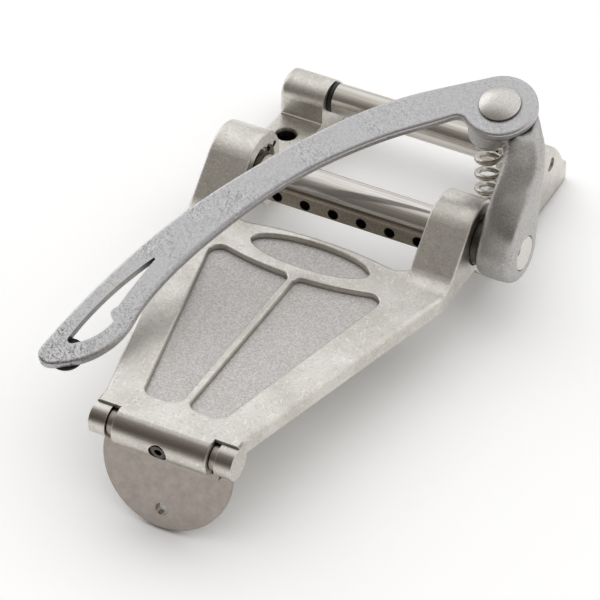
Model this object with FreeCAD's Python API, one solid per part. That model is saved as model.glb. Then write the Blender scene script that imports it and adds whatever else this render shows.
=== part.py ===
import FreeCAD, Part
import math
import os

# Tremolo tailpiece bridge for a six-string electric guitar, in millimetres.
# Origin: on the mounting plane, midway between the two screw holes of the rails.
# +X points to the crank side, +Y to the neck, +Z up off the guitar's top.

V = FreeCAD.Vector
X_AXIS = V(1, 0, 0)
Y_AXIS = V(0, 1, 0)
Z_AXIS = V(0, 0, 1)
SIDES = {"left": -1, "right": 1}

# Strings and mounting screws
STRING_COUNT = 6
STRING_PITCH = 10.4
STRING_HOLE_D = 3.4
STRING_SHIFT = 3.2
STRING_MARGIN = 6.8
EAR_INSET = 8.5
EAR_HOLE_D = 5.0
EAR_SINK_D = 7.8
EAR_SINK_DEPTH = 2.4

# Fits
RUNNING_FIT = 0.03
SIDE_GAP = 0.3
SEAT_GAP = 0.1
# Cutting tools run this far past the faces they open, and edges are picked with this margin
OVERRUN = 1.0
PICK_MARGIN = 0.1

# Side rails, which rest on the guitar's top
INNER_HALF = STRING_PITCH * (STRING_COUNT - 1) / 2 + STRING_MARGIN
LUG_WIDTH = 15.2
RAIL_WIDTH = 16.7
RAIL_HEIGHT = 7.5
RAIL_REAR = -30.0
RAIL_FRONT = 32.2
RAIL_ROUND = 1.2

# Tail deck with its sunk panels
DECK_TOP = 13.0
DECK_THICK = 5.6
DECK_TAIL = -159.2
DECK_TAIL_HALF = 25.2
DECK_WIDE_Y = -62.6
DECK_NARROW_Y = -153.9
DECK_FRONT_MID = -53.0
DECK_FRONT_SIDE = -57.4
DECK_HEAD = -47.0
DECK_BEND_R = 15.0
DECK_WINDOW_R = 6.0
DECK_ROUND = 1.3
PANEL_DEPTH = 2.0
PANEL_RIM_ROUND = 0.7
PANEL_RIB_R = 2.6
PANEL_HEAD_R = 4.0
PANEL_FOOT_R = 4.2
OVAL_Y = -62.8
OVAL_HALF_X = 21.4
OVAL_HALF_Y = 6.9
WING_TOP_MID = -74.8
WING_TOP_SIDE = -69.4
WING_BOTTOM = -150.0
WING_HALF_TOP = 32.3
WING_HALF_BOTTOM = 14.2
WING_RIB = 2.4

# String shaft and its needle bearings in the lugs
SHAFT_Y = -34.3
SHAFT_Z = 17.9
SHAFT_D = 12.0
SHAFT_CHAMFER = 0.4
LUG_R = 13.3
LUG_FLANK_DEG = 45.0
LUG_FOOT_R = 9.0
LUG_ROUND = 1.1
CUP_WALL = 1.0
CUP_LENGTH = 11.0
CUP_DEPTH = 2.2
CUP_LIP_GAP = 0.42
NEEDLE_D = 2.0
NEEDLE_COUNT = 14
NEEDLE_LENGTH = 9.0
CLIP_THICK = 1.0
CLIP_RADIAL = 1.5
CLIP_OPENING_DEG = 24.0
BLIND_FLOOR = 1.6
PRY_NOTCH_WIDTH = 2.2
PRY_NOTCH_REACH = 2.2
PRY_NOTCH_DEPTH = 1.4
PRY_NOTCH_DEG = 30.0
SHAFT_END_GAP = 0.4

# Anchor bar let into the shaft
BAR_REAR = 8.2
BAR_SEAT = 3.7
BAR_TOP = 0.2
BAR_BOTTOM = 5.1
BAR_END_GAP = 0.6
BAR_CHAMFER = 0.3
STRING_HOLE_DROP = 2.5

# Front roller and its posts
ROLLER_Y = 18.5
ROLLER_Z = 14.6
ROLLER_D = 10.7
ROLLER_CHAMFER = 0.3
AXLE_D = 5.0
BUSH_FLANGE = 1.2
BUSH_SPIGOT_D = 7.4
BUSH_SPIGOT_LENGTH = 6.0
ROLLER_BORE_D = 6.0
POST_REAR = 10.4
POST_REAR_SHOULDER = 14.6
POST_BOSS_R = 6.0
POST_SLOPE_DEG = 50.0
POST_NOSE_Z = 8.2
POST_NOSE_R = 1.4
POST_ROUND = 1.8
POST_BEAD_R = 0.8
AXLE_BLIND = 3.5
AXLE_SINK = 0.6

# Tail hinge
HINGE_Y = -160.2
HINGE_Z = 6.8
HINGE_PIN_D = 3.8
BARREL_R = 6.4
BARREL_HALF = 16.8
BARREL_ROUND = 0.8
KNUCKLE_R = 5.4
KNUCKLE_IN = 19.4
KNUCKLE_OUT = 25.2
LOCK_SCREW_D = 5.2
LOCK_SCREW_SINK = 0.6
LOCK_SCREW_TILT_DEG = 11.0
LOCK_BORE_D = 6.4
LOCK_BORE_DEPTH = 1.3
LOCK_SOCKET_AF = 2.5
LOCK_SOCKET_DEPTH = 1.8

# Tail plate, which folds over the guitar's edge
TAIL_LEAN_DEG = 11.5
TAIL_THICK = 3.0
TAIL_SETBACK = 1.5
TAIL_DISC_R = 22.65
TAIL_DISC_DROP = 10.3
TAIL_TOP_DROP = 6.9
TAIL_EAR_R = 4.4
TAIL_EAR_THICK = 2.0
TAIL_ROUND = 0.6
BUTTON_HOLE_D = 4.3
BUTTON_HOLE_DROP = 26.1

# Crank bracket on the shaft's right end
CRANK_GAP = 2.2
CRANK_WIDTH = 13.8
HUB_R = 11.2
LIMB_ROUND = 2.6
LIMB_RISE = 40.0
# Angles on the hub where the limb's front and rear leave it, points of both edges in the side
# view from the shaft's axis, and their headings at the head
LIMB_FRONT_DEG = -15.0
LIMB_REAR_DEG = 163.0
LIMB_FRONT = ((13.2, 12.0), (16.0, 22.0))
LIMB_REAR = ((2.4, 20.2), (-6.6, 12.0))
LIMB_FRONT_TOP = 26.0
LIMB_REAR_TOP = 14.6
LIMB_FRONT_HEAD_DEG = 55.0
LIMB_REAR_HEAD_DEG = 264.0
# Front view: where the two sides start to lean over the lug, and how far they go
LIMB_INNER_BEND = 20.0
LIMB_INNER_LEAN = 11.0
LIMB_OUTER_BEND = 24.0
LIMB_OUTER_LEAN = 6.0
SPACER_D = 17.0
SET_SCREW_D = 4.0
SET_SCREW_LENGTH = 4.0
SET_SOCKET_AF = 2.0

# Arm pivot at the head of the crank
PIVOT_OUT = 11.2
PIVOT_AHEAD = 19.2
PIVOT_RISE = 40.7
PIVOT = V(INNER_HALF + PIVOT_OUT, SHAFT_Y + PIVOT_AHEAD, SHAFT_Z + PIVOT_RISE)
PIVOT_TILT_DEG = 18.4
ARM_THICK = 2.6
ARM_EDGE = 1.1
EYE_R = 12.5
EYE_LEAVE_DEG = 127.0
EYE_NOTCH_DEG = 230.0
NOTCH_R = 3.6
NECK_HEADING_DEG = 43.0
TIP_HEADING_DEG = -100.0
ARM_SWEEP = 96.8
ARM_REACH = 139.0
# Points of the arm's outline and slot, as shares of its sweep to the side and its reach
ARM_TIP = (1.0, 1.0)
ARM_HEEL = (0.9360, 1.0374)
ARM_WAIST = (0.7603, 0.8561)
ARM_OUTER = ((0.3316, 0.0619), (0.6260, 0.3173), (0.8264, 0.5755), (0.9556, 0.8504))
ARM_INNER = ((0.7479, 0.7590), (0.6591, 0.5583), (0.4866, 0.3273), (0.2707, 0.1540))
SLOT_TOP = (0.8120, 0.6863)
SLOT_TOP_IN = (0.8048, 0.6935)
SLOT_FOOT = (0.9287, 0.9554)
SLOT_FOOT_IN = (0.9050, 0.9683)
SLOT_THROAT = (0.8171, 0.8763)
SLOT_TOOTH = (0.8419, 0.8633)
SLOT_HOOK = (0.8326, 0.8403)
# Middle points of the slot's arcs: outer side, foot, throat, hook, inner side, top
SLOT_MIDDLES = (
    (0.8843, 0.8101),
    (0.9225, 0.9676),
    (0.8471, 0.9295),
    (0.8430, 0.8504),
    (0.8223, 0.7698),
    (0.8058, 0.6878),
)
WASHER_R = 12.1
WASHER_THICK = 1.0
PAD_R = 11.5
PAD_THICK = 1.4
SHOULDER_R = 26.0
SHOULDER_DROP = 10.0
BOLT_HEAD_D = 13.7
BOLT_HEAD_RISE = 2.6
BOLT_HEAD_EDGE = 0.7
BOLT_SHANK_D = 7.0
BOLT_THREAD_D = 6.0
BOLT_DEPTH = 9.0
ARM_BUSH_WALL = 1.0
DISC_SPRING_D = 14.0
DISC_SPRING_THICK = 0.6
BUMPER_AT = (0.9160, 0.9890)
BUMPER_R = 6.2
BUMPER_HEIGHT = 4.6
BUMPER_STEM_R = 2.0
BUMPER_STEM = 1.2

# Return spring between the right rail and the crank's head
SPRING_OUT = 8.4
SPRING_FOOT_AHEAD = 23.6
SPRING_HEAD_AHEAD = 19.8
SPRING_HEAD_RISE = 27.7
SPRING_SEAT_DEPTH = 0.8
SPRING_X = INNER_HALF + SPRING_OUT
SPRING_FOOT = V(SPRING_X, SHAFT_Y + SPRING_FOOT_AHEAD, RAIL_HEIGHT - SPRING_SEAT_DEPTH)
SPRING_HEAD = V(SPRING_X, SHAFT_Y + SPRING_HEAD_AHEAD, SHAFT_Z + SPRING_HEAD_RISE)
SPRING_D = 11.2
SPRING_WIRE_D = 1.95
SPRING_ACTIVE_TURNS = 5.0
SPRING_END_TURNS = 0.75
SPRING_END_PITCH = 2.5
SPRING_SEAT_R = 6.2
SPRING_SAMPLES = 600
CUP_R = 6.1
CUP_RIM = 1.1
CUP_MOUTH_DROP = 1.4


def box(x0, x1, y0, y1, z0, z1):
    """Block between two corners, given in any order along each axis."""
    low = V(min(x0, x1), min(y0, y1), min(z0, z1))
    return Part.makeBox(abs(x1 - x0), abs(y1 - y0), abs(z1 - z0), low)


def rod_x(x0, x1, y, z, radius):
    """Cylinder along X."""
    return Part.makeCylinder(radius, abs(x1 - x0), V(min(x0, x1), y, z), X_AXIS)


def tube_x(x0, x1, y, z, outer, inner):
    """Hollow cylinder along X."""
    return rod_x(x0, x1, y, z, outer).cut(rod_x(x0, x1, y, z, inner))


def line(a, b):
    return Part.LineSegment(a, b).toShape()


def arc(a, middle, b):
    return Part.Arc(a, middle, b).toShape()


def polar(radius, degrees, centre=V()):
    """Point at a radius and an angle from +X about a centre, in the XY plane."""
    turn = math.radians(degrees)
    return centre + V(radius * math.cos(turn), radius * math.sin(turn), 0)


def curve(points, start_deg, end_deg):
    """Smooth edge through a few points, with its headings at both ends."""
    spline = Part.BSplineCurve()
    start = polar(1, start_deg)
    end = polar(1, end_deg)
    spline.interpolate(Points=points, InitialTangent=start, FinalTangent=end)
    return spline.toShape()


def arc_heading(start, heading_deg, end):
    """Arc that leaves a point with a heading and ends at another; also its last heading."""
    chord = end - start
    turn = math.atan2(chord.y, chord.x) - math.radians(heading_deg)
    side = V(chord.y, -chord.x, 0)
    middle = (start + end) * 0.5 + side * (math.tan(turn / 2) / 2)
    return arc(start, middle, end), heading_deg + 2 * math.degrees(turn)


def face(edges):
    return Part.Face(Part.Wire(edges))


def polygon(points):
    return Part.Face(Part.makePolygon(points + points[:1]))


def edges_where(solid, test):
    """Edges whose middle point passes the test."""
    chosen = []
    for edge in solid.Edges:
        first, last = edge.ParameterRange
        if test(edge.valueAt((first + last) / 2)):
            chosen.append(edge)
    return chosen


def round_rims(rod):
    """The two end circles of a cylinder along X."""
    return [e for e in rod.Edges if near(e.BoundBox.XLength, 0)]


def near(a, b):
    return abs(a - b) < 1e-4


def hexagon_prism(across, base, direction, depth):
    """Hexagonal socket cut, from a base point along a direction."""
    points = []
    for corner in range(6):
        turn = math.radians(60 * corner)
        points.append(V(math.cos(turn), math.sin(turn), 0) * (across / math.sqrt(3)))
    prism = polygon(points).extrude(Z_AXIS * depth)
    prism.Placement = FreeCAD.Placement(base, FreeCAD.Rotation(Z_AXIS, direction))
    return prism


def deck():
    """Tapered tail deck with its oval and two wing panels sunk into the top."""
    wide = INNER_HALF + LUG_WIDTH
    right = [
        V(DECK_TAIL_HALF, DECK_TAIL, 0),
        V(DECK_TAIL_HALF, DECK_NARROW_Y, 0),
        V(wide, DECK_WIDE_Y, 0),
        V(wide, DECK_HEAD, 0),
        V(INNER_HALF, DECK_HEAD, 0),
        V(INNER_HALF, DECK_FRONT_SIDE, 0),
    ]
    left = [V(-p.x, p.y, 0) for p in reversed(right)]
    edges = [line(a, b) for a, b in zip(right, right[1:])]
    edges.append(arc(right[-1], V(0, DECK_FRONT_MID, 0), left[0]))
    edges += [line(a, b) for a, b in zip(left, left[1:])]
    edges.append(line(left[-1], right[0]))
    solid = face(edges).extrude(Z_AXIS * DECK_THICK)
    solid.translate(Z_AXIS * (DECK_TOP - DECK_THICK))
    bends = (DECK_WIDE_Y, DECK_NARROW_Y)
    upright = edges_where(solid, lambda p: any(near(p.y, y) for y in bends))
    upright = [e for e in upright if near(e.BoundBox.ZLength, DECK_THICK)]
    solid = solid.makeFillet(DECK_BEND_R, upright)
    corners = edges_where(solid, lambda p: near(abs(p.x), INNER_HALF) and near(p.y, DECK_FRONT_SIDE))
    corners = [e for e in corners if near(e.BoundBox.ZLength, DECK_THICK)]
    solid = solid.makeFillet(DECK_WINDOW_R, corners)
    behind = DECK_TAIL + OVERRUN
    ahead = DECK_FRONT_MID + OVERRUN
    rim = edges_where(solid, lambda p: near(p.z, DECK_TOP) and behind < p.y < ahead)
    rim = [e for e in rim if not on_inner_side(e)]
    solid = solid.makeFillet(DECK_ROUND, rim)
    panels = [oval_panel(), wing_panel(-1), wing_panel(1)]
    solid = solid.cut(panels)
    lips = edges_where(solid, lambda p: near(p.z, DECK_TOP) and touches(panels, p))
    return solid.makeFillet(PANEL_RIM_ROUND, lips)


def on_inner_side(edge):
    """True for an edge that runs along a lug's inner face."""
    bounds = edge.BoundBox
    return near(bounds.XLength, 0) and near(abs(bounds.XMax), INNER_HALF)


def over(a, b):
    """True where one point lies straight above or below another."""
    return near(a.x, b.x) and near(a.y, b.y)


def touches(shapes, point):
    """True where a point lies on one of the shapes."""
    vertex = Part.Vertex(point)
    return any(near(shape.distToShape(vertex)[0], 0) for shape in shapes)


def oval_panel():
    ring = Part.Ellipse(V(0, OVAL_Y, DECK_TOP), OVAL_HALF_X, OVAL_HALF_Y).toShape()
    return face([ring]).extrude(Z_AXIS * -PANEL_DEPTH)


def wing_panel(side):
    """One wing panel; its top follows the oval and its rib edge is straight."""
    rib = side * WING_RIB / 2
    reach = side * WING_HALF_TOP
    sag = WING_TOP_SIDE - WING_TOP_MID
    radius = (WING_HALF_TOP ** 2 + sag ** 2) / (2 * sag)

    def top(x):
        return V(x, WING_TOP_MID + radius - math.sqrt(radius ** 2 - x ** 2), DECK_TOP)

    low_in = V(rib, WING_BOTTOM, DECK_TOP)
    low_out = V(side * WING_HALF_BOTTOM, WING_BOTTOM, DECK_TOP)
    edges = [
        line(low_in, low_out),
        line(low_out, top(reach)),
        arc(top(reach), top((reach + rib) / 2), top(rib)),
        line(top(rib), low_in),
    ]
    panel = face(edges).extrude(Z_AXIS * -PANEL_DEPTH)
    corners = (
        (low_in, PANEL_FOOT_R),
        (low_out, PANEL_FOOT_R),
        (top(reach), PANEL_HEAD_R),
        (top(rib), PANEL_RIB_R),
    )
    for corner, rounding in corners:
        panel = panel.makeFillet(rounding, edges_where(panel, lambda p: over(p, corner)))
    return panel


def lug(side):
    """Bearing lug: round over the shaft, with a sloping flank that runs into the deck."""
    x_in = side * INNER_HALF
    x_out = x_in + side * LUG_WIDTH
    slope = math.radians(LUG_FLANK_DEG)

    def at(y, z):
        return V(x_in, y, z)

    def on_crown(degrees):
        turn = math.radians(degrees)
        return at(SHAFT_Y + LUG_R * math.cos(turn), SHAFT_Z + LUG_R * math.sin(turn))

    crest = on_crown(180 - LUG_FLANK_DEG)
    corner_y = crest.y - (crest.z - DECK_TOP) / math.tan(slope)
    run = LUG_FOOT_R * math.tan(slope / 2)
    foot = at(corner_y - run, DECK_TOP)
    flank = at(corner_y + run * math.cos(slope), DECK_TOP + run * math.sin(slope))
    sweep_y = foot.y + LUG_FOOT_R * math.sin(slope / 2)
    sweep = at(sweep_y, DECK_TOP + LUG_FOOT_R * (1 - math.cos(slope / 2)))
    under = DECK_TOP - DECK_THICK
    front = SHAFT_Y + LUG_R
    edges = [
        arc(foot, sweep, flank),
        line(flank, crest),
        arc(crest, on_crown((180 - LUG_FLANK_DEG) / 2), on_crown(0)),
        line(on_crown(0), at(front, 0)),
        line(at(front, 0), at(RAIL_REAR, 0)),
        line(at(RAIL_REAR, 0), at(RAIL_REAR - under, under)),
        line(at(RAIL_REAR - under, under), at(foot.y, under)),
        line(at(foot.y, under), foot),
    ]
    solid = face(edges).extrude(V(x_out - x_in, 0, 0))
    low = under + PICK_MARGIN
    rear = foot.y + PICK_MARGIN
    sides = edges_where(solid, lambda p: near(p.x, x_in) or near(p.x, x_out))
    shoulder = [e for e in sides if e.CenterOfMass.z > low and e.CenterOfMass.y > rear]
    return solid.makeFillet(LUG_ROUND, shoulder)


def rail(side):
    """Flat side rail with its screw ear."""
    x_in = side * INNER_HALF
    x_out = x_in + side * RAIL_WIDTH
    solid = box(x_in, x_out, RAIL_REAR, RAIL_FRONT, 0, RAIL_HEIGHT)
    top = edges_where(solid, lambda p: near(p.z, RAIL_HEIGHT) and near(p.x, x_out))
    return solid.makeFillet(RAIL_ROUND, top)


def stand_side(shape, x):
    """Stand a side view upright at an x: its X axis becomes Y and its Y axis becomes Z."""
    shape.Placement = FreeCAD.Placement(V(x, 0, 0), FreeCAD.Rotation(V(1, 1, 1), 120))
    return shape


def post(side):
    """Roller post: upright behind, boss over the axle, long slope down to the nose."""
    axle = V(ROLLER_Y, ROLLER_Z, 0)
    boss_top = polar(POST_BOSS_R, 90, axle)
    rise = boss_top.y - POST_REAR_SHOULDER
    shoulder = V(POST_REAR, POST_REAR_SHOULDER, 0)
    brow = V(POST_REAR + rise, boss_top.y, 0)
    slope_top = polar(POST_BOSS_R, POST_SLOPE_DEG, axle)
    slope_end = V(RAIL_FRONT - POST_NOSE_R, POST_NOSE_Z, 0)
    brow_arc, _ = arc_heading(shoulder, 90, brow)
    boss_arc, boss_heading = arc_heading(boss_top, 0, slope_top)
    slope_arc, slope_heading = arc_heading(slope_top, boss_heading, slope_end)
    fall = math.tan(math.radians((slope_heading - 90) / 2))
    chin = slope_end + V(1, fall, 0) * POST_NOSE_R
    nose_arc, _ = arc_heading(slope_end, slope_heading, chin)
    heel = V(POST_REAR, 0, 0)
    toe = V(RAIL_FRONT, 0, 0)
    outline = face([
        line(heel, shoulder),
        brow_arc,
        line(brow, boss_top),
        boss_arc,
        slope_arc,
        nose_arc,
        line(chin, toe),
        line(toe, heel),
    ])
    x_in = side * INNER_HALF
    x_out = x_in + side * RAIL_WIDTH
    solid = stand_side(outline.extrude(Z_AXIS * (x_out - x_in)), x_in)
    outer_rim = edges_where(solid, lambda p: near(p.x, x_out) and p.z > PICK_MARGIN)
    return solid.makeFillet(POST_ROUND, outer_rim)


def base_frame():
    """Cast frame: deck, lugs, rails, roller posts and hinge barrel in one piece."""
    parts = []
    for side in SIDES.values():
        x_in = side * INNER_HALF
        parts += [lug(side), rail(side), post(side)]
        x_out = x_in + side * (RAIL_WIDTH - RAIL_ROUND)
        parts.append(rod_x(x_in, x_out, POST_REAR, RAIL_HEIGHT, POST_BEAD_R))
        parts.append(rod_x(side * KNUCKLE_IN, side * KNUCKLE_OUT, HINGE_Y, HINGE_Z, KNUCKLE_R))
    barrel = rod_x(-BARREL_HALF, BARREL_HALF, HINGE_Y, HINGE_Z, BARREL_R)
    barrel = barrel.makeFillet(BARREL_ROUND, round_rims(barrel))
    rear = HINGE_Y - BARREL_R
    crest = box(-BARREL_HALF, BARREL_HALF, rear, rear + 2 * BARREL_R, DECK_TOP, DECK_TOP + BARREL_R)
    solid = deck().fuse(parts + [barrel.cut(crest)])
    return solid.cut(frame_cuts()).removeSplitter()


def frame_cuts():
    """Bores, screw holes and clearances of the frame."""
    reach = KNUCKLE_OUT + OVERRUN
    cuts = [rod_x(-reach, reach, HINGE_Y, HINGE_Z, HINGE_PIN_D / 2 + RUNNING_FIT)]
    cuts.append(lock_rod(LOCK_SCREW_D, 0, BARREL_R + OVERRUN))
    cuts.append(lock_rod(LOCK_BORE_D, BARREL_R - LOCK_BORE_DEPTH, BARREL_R + OVERRUN))
    bore = bearing_bore_r()
    for side in SIDES.values():
        x_in = side * INNER_HALF
        slot_out = side * KNUCKLE_IN
        cuts.append(rod_x(side * BARREL_HALF, slot_out, HINGE_Y, HINGE_Z, TAIL_EAR_R + SIDE_GAP))
        depth = LUG_WIDTH - BLIND_FLOOR if side < 0 else LUG_WIDTH
        cuts.append(rod_x(x_in, x_in + side * depth, SHAFT_Y, SHAFT_Z, bore))
        cuts.append(pry_notch(side))
        axle_depth = RAIL_WIDTH - AXLE_BLIND if side < 0 else RAIL_WIDTH
        cuts.append(rod_x(x_in, x_in + side * axle_depth, ROLLER_Y, ROLLER_Z, AXLE_D / 2))
        ear = V(side * (INNER_HALF + EAR_INSET), 0, 0)
        cuts.append(Part.makeCylinder(EAR_HOLE_D / 2, RAIL_HEIGHT, ear))
        ear = ear + Z_AXIS * (RAIL_HEIGHT - EAR_SINK_DEPTH)
        cuts.append(Part.makeCone(EAR_HOLE_D / 2, EAR_SINK_D / 2, EAR_SINK_DEPTH, ear))
    cuts.append(Part.makeCylinder(SPRING_SEAT_R, RAIL_HEIGHT, SPRING_FOOT))
    return cuts


def pry_notch(side):
    """Slot beside the bearing bore, to lift the clip out with a blade."""
    reach = bearing_bore_r() + PRY_NOTCH_REACH
    x_in = side * INNER_HALF
    x_out = x_in + side * PRY_NOTCH_DEPTH
    half = PRY_NOTCH_WIDTH / 2
    notch = box(x_in, x_out, SHAFT_Y, SHAFT_Y + reach, -half, half)
    notch.translate(Z_AXIS * SHAFT_Z)
    notch.rotate(V(0, SHAFT_Y, SHAFT_Z), X_AXIS, PRY_NOTCH_DEG)
    return notch


def bearing_bore_r():
    return SHAFT_D / 2 + NEEDLE_D + CUP_WALL


def bearing_start(side):
    """X of the cup's inner end, behind its clip."""
    return side * (INNER_HALF + CUP_DEPTH)


def bearing_cup(side):
    """Drawn cup: thin shell with an inturned lip at each end."""
    start = bearing_start(side)
    end = start + side * CUP_LENGTH
    bore = bearing_bore_r()
    cup = tube_x(start, end, SHAFT_Y, SHAFT_Z, bore, bore - CUP_WALL)
    lip = (CUP_LENGTH - NEEDLE_LENGTH) / 2 - SEAT_GAP
    inner = SHAFT_D / 2 + CUP_LIP_GAP
    lips = [tube_x(start, start + side * lip, SHAFT_Y, SHAFT_Z, bore - CUP_WALL / 2, inner)]
    lips.append(tube_x(end, end - side * lip, SHAFT_Y, SHAFT_Z, bore - CUP_WALL / 2, inner))
    return cup.fuse(lips).removeSplitter()


def needle_set(side):
    """Full ring of needle rollers between the shaft and the cup."""
    middle = bearing_start(side) + side * CUP_LENGTH / 2
    pitch_r = SHAFT_D / 2 + NEEDLE_D / 2
    needles = []
    for index in range(NEEDLE_COUNT):
        turn = math.tau * index / NEEDLE_COUNT
        y = SHAFT_Y + pitch_r * math.cos(turn)
        z = SHAFT_Z + pitch_r * math.sin(turn)
        half = NEEDLE_LENGTH / 2
        needles.append(rod_x(middle - half, middle + half, y, z, NEEDLE_D / 2 - RUNNING_FIT))
    return Part.makeCompound(needles)


def bearing_clip(side):
    """Open retaining ring that holds the cup in its bore."""
    start = bearing_start(side)
    end = start - side * CLIP_THICK
    outer = bearing_bore_r()
    ring = tube_x(end, start, SHAFT_Y, SHAFT_Z, outer, outer - CLIP_RADIAL)
    half = math.radians(CLIP_OPENING_DEG / 2)
    far = 2 * outer
    low = min(start, end)
    wedge = polygon([V(low, 0, 0), V(low, far * math.cos(half), far * math.sin(half)),
                     V(low, far * math.cos(half), -far * math.sin(half))])
    wedge = wedge.extrude(X_AXIS * CLIP_THICK)
    wedge.translate(V(0, SHAFT_Y, SHAFT_Z))
    wedge.rotate(V(0, SHAFT_Y, SHAFT_Z), X_AXIS, PRY_NOTCH_DEG)
    return ring.cut(wedge)


def string_x():
    """X of each string hole."""
    first = STRING_SHIFT - STRING_PITCH * (STRING_COUNT - 1) / 2
    return [first + STRING_PITCH * index for index in range(STRING_COUNT)]


def string_holes():
    reach = BAR_REAR + SHAFT_D
    starts = [V(x, SHAFT_Y - reach, SHAFT_Z - STRING_HOLE_DROP) for x in string_x()]
    return [Part.makeCylinder(STRING_HOLE_D / 2, 2 * reach, start, Y_AXIS) for start in starts]


def anchor_block():
    """Room of the anchor bar, let into the rear of the shaft."""
    half = INNER_HALF - BAR_END_GAP
    bottom = SHAFT_Z - BAR_BOTTOM
    return box(-half, half, SHAFT_Y - BAR_REAR, SHAFT_Y - BAR_SEAT, bottom, SHAFT_Z + BAR_TOP)


def crank_outer():
    """X of the crank's outer face, flush with the shaft's end."""
    return crank_inner() + CRANK_WIDTH


def crank_inner():
    return INNER_HALF + LUG_WIDTH + CRANK_GAP


def string_shaft():
    """Ground shaft, milled for the anchor bar and drilled for the strings."""
    left_end = -(INNER_HALF + LUG_WIDTH - BLIND_FLOOR - SHAFT_END_GAP)
    shaft = rod_x(left_end, crank_outer(), SHAFT_Y, SHAFT_Z, SHAFT_D / 2)
    shaft = shaft.makeChamfer(SHAFT_CHAMFER, round_rims(shaft))
    return shaft.cut([anchor_block()] + string_holes())


def string_anchor_bar():
    """Bar that carries the ball ends, with one hole for each string."""
    bar = anchor_block()
    rear = edges_where(bar, lambda p: near(p.y, SHAFT_Y - BAR_REAR))
    return bar.makeChamfer(BAR_CHAMFER, rear).cut(string_holes())


def shaft_spacer():
    """Thrust washer between the right lug and the crank."""
    lug_face = INNER_HALF + LUG_WIDTH
    return tube_x(lug_face + SEAT_GAP, crank_inner(), SHAFT_Y, SHAFT_Z, SPACER_D / 2, SHAFT_D / 2)


def front_roller():
    """Polished roller that the strings press on, counterbored for its bushes."""
    half = roller_half()
    roller = rod_x(-half, half, ROLLER_Y, ROLLER_Z, ROLLER_D / 2)
    roller = roller.makeChamfer(ROLLER_CHAMFER, round_rims(roller))
    cuts = [rod_x(-half, half, ROLLER_Y, ROLLER_Z, ROLLER_BORE_D / 2)]
    seat = half - BUSH_SPIGOT_LENGTH
    for side in SIDES.values():
        cuts.append(rod_x(side * half, side * seat, ROLLER_Y, ROLLER_Z, BUSH_SPIGOT_D / 2))
    return roller.cut(cuts)


def roller_half():
    return INNER_HALF - SIDE_GAP - BUSH_FLANGE


def roller_bush(side):
    """Flanged plain bush, pressed into the roller's end and turning on the axle."""
    half = side * roller_half()
    outer_end = half + side * BUSH_FLANGE
    inner_end = half - side * BUSH_SPIGOT_LENGTH
    flange = rod_x(half, outer_end, ROLLER_Y, ROLLER_Z, ROLLER_D / 2)
    spigot = rod_x(inner_end, half, ROLLER_Y, ROLLER_Z, BUSH_SPIGOT_D / 2)
    bore = rod_x(inner_end, outer_end, ROLLER_Y, ROLLER_Z, AXLE_D / 2 + RUNNING_FIT)
    return flange.fuse(spigot).cut(bore).removeSplitter()


def roller_axle():
    """Fixed axle, blind in the left post and a little below the right one's face."""
    left = -(INNER_HALF + RAIL_WIDTH - AXLE_BLIND)
    right = INNER_HALF + RAIL_WIDTH - AXLE_SINK
    return rod_x(left, right, ROLLER_Y, ROLLER_Z, AXLE_D / 2)


def tail_plate():
    """Round plate on two ears, which hangs over the guitar's end at a lean."""
    rear = HINGE_Y + TAIL_SETBACK
    front = rear + TAIL_THICK
    disc = Part.makeCylinder(TAIL_DISC_R, TAIL_THICK, V(0, rear, HINGE_Z - TAIL_DISC_DROP), Y_AXIS)
    top = HINGE_Z - TAIL_TOP_DROP
    disc = disc.cut(box(-TAIL_DISC_R, TAIL_DISC_R, rear, front, top, top + 2 * TAIL_DISC_R))
    disc = disc.makeFillet(TAIL_ROUND, disc.Edges)
    ears = []
    for side in SIDES.values():
        ear_in = side * (BARREL_HALF + KNUCKLE_IN - TAIL_EAR_THICK) / 2
        ear_out = ear_in + side * TAIL_EAR_THICK
        ears.append(rod_x(ear_in, ear_out, HINGE_Y, HINGE_Z, TAIL_EAR_R))
        ears.append(box(ear_in, ear_out, HINGE_Y, front - TAIL_ROUND, HINGE_Z, top - 2 * TAIL_ROUND))
    plate = disc.fuse(ears)
    pin = rod_x(-KNUCKLE_OUT, KNUCKLE_OUT, HINGE_Y, HINGE_Z, HINGE_PIN_D / 2)
    button = V(0, rear, HINGE_Z - BUTTON_HOLE_DROP)
    hole = Part.makeCylinder(BUTTON_HOLE_D / 2, TAIL_THICK, button, Y_AXIS)
    plate = plate.cut([pin, hole]).removeSplitter()
    plate.rotate(V(0, HINGE_Y, HINGE_Z), X_AXIS, -TAIL_LEAN_DEG)
    return plate


def hinge_pin():
    return rod_x(-KNUCKLE_OUT, KNUCKLE_OUT, HINGE_Y, HINGE_Z, HINGE_PIN_D / 2)


def lock_rod(diameter, inner, outer):
    """Cylinder between two distances from the hinge pin's axis, along the lock screw."""
    axis = lock_axis()
    centre = V(0, HINGE_Y, HINGE_Z)
    return Part.makeCylinder(diameter / 2, outer - inner, centre + axis * inner, axis)


def lock_axis():
    """Unit vector out of the barrel along the lock screw, a little below level."""
    tilt = math.radians(LOCK_SCREW_TILT_DEG)
    return V(0, -math.cos(tilt), -math.sin(tilt))


def hinge_lock_screw():
    """Socket grub screw that clamps the hinge pin from behind."""
    outer = BARREL_R - LOCK_SCREW_SINK
    screw = lock_rod(LOCK_SCREW_D, HINGE_PIN_D / 2 + SEAT_GAP, outer)
    mouth = V(0, HINGE_Y, HINGE_Z) + lock_axis() * outer
    return screw.cut(hexagon_prism(LOCK_SOCKET_AF, mouth, -lock_axis(), LOCK_SOCKET_DEPTH))


def on_pivot(shape):
    """Move a shape built about the origin, +Z along the pivot, to the pivot."""
    shape.Placement = FreeCAD.Placement(PIVOT, FreeCAD.Rotation(X_AXIS, PIVOT_TILT_DEG))
    return shape


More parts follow.
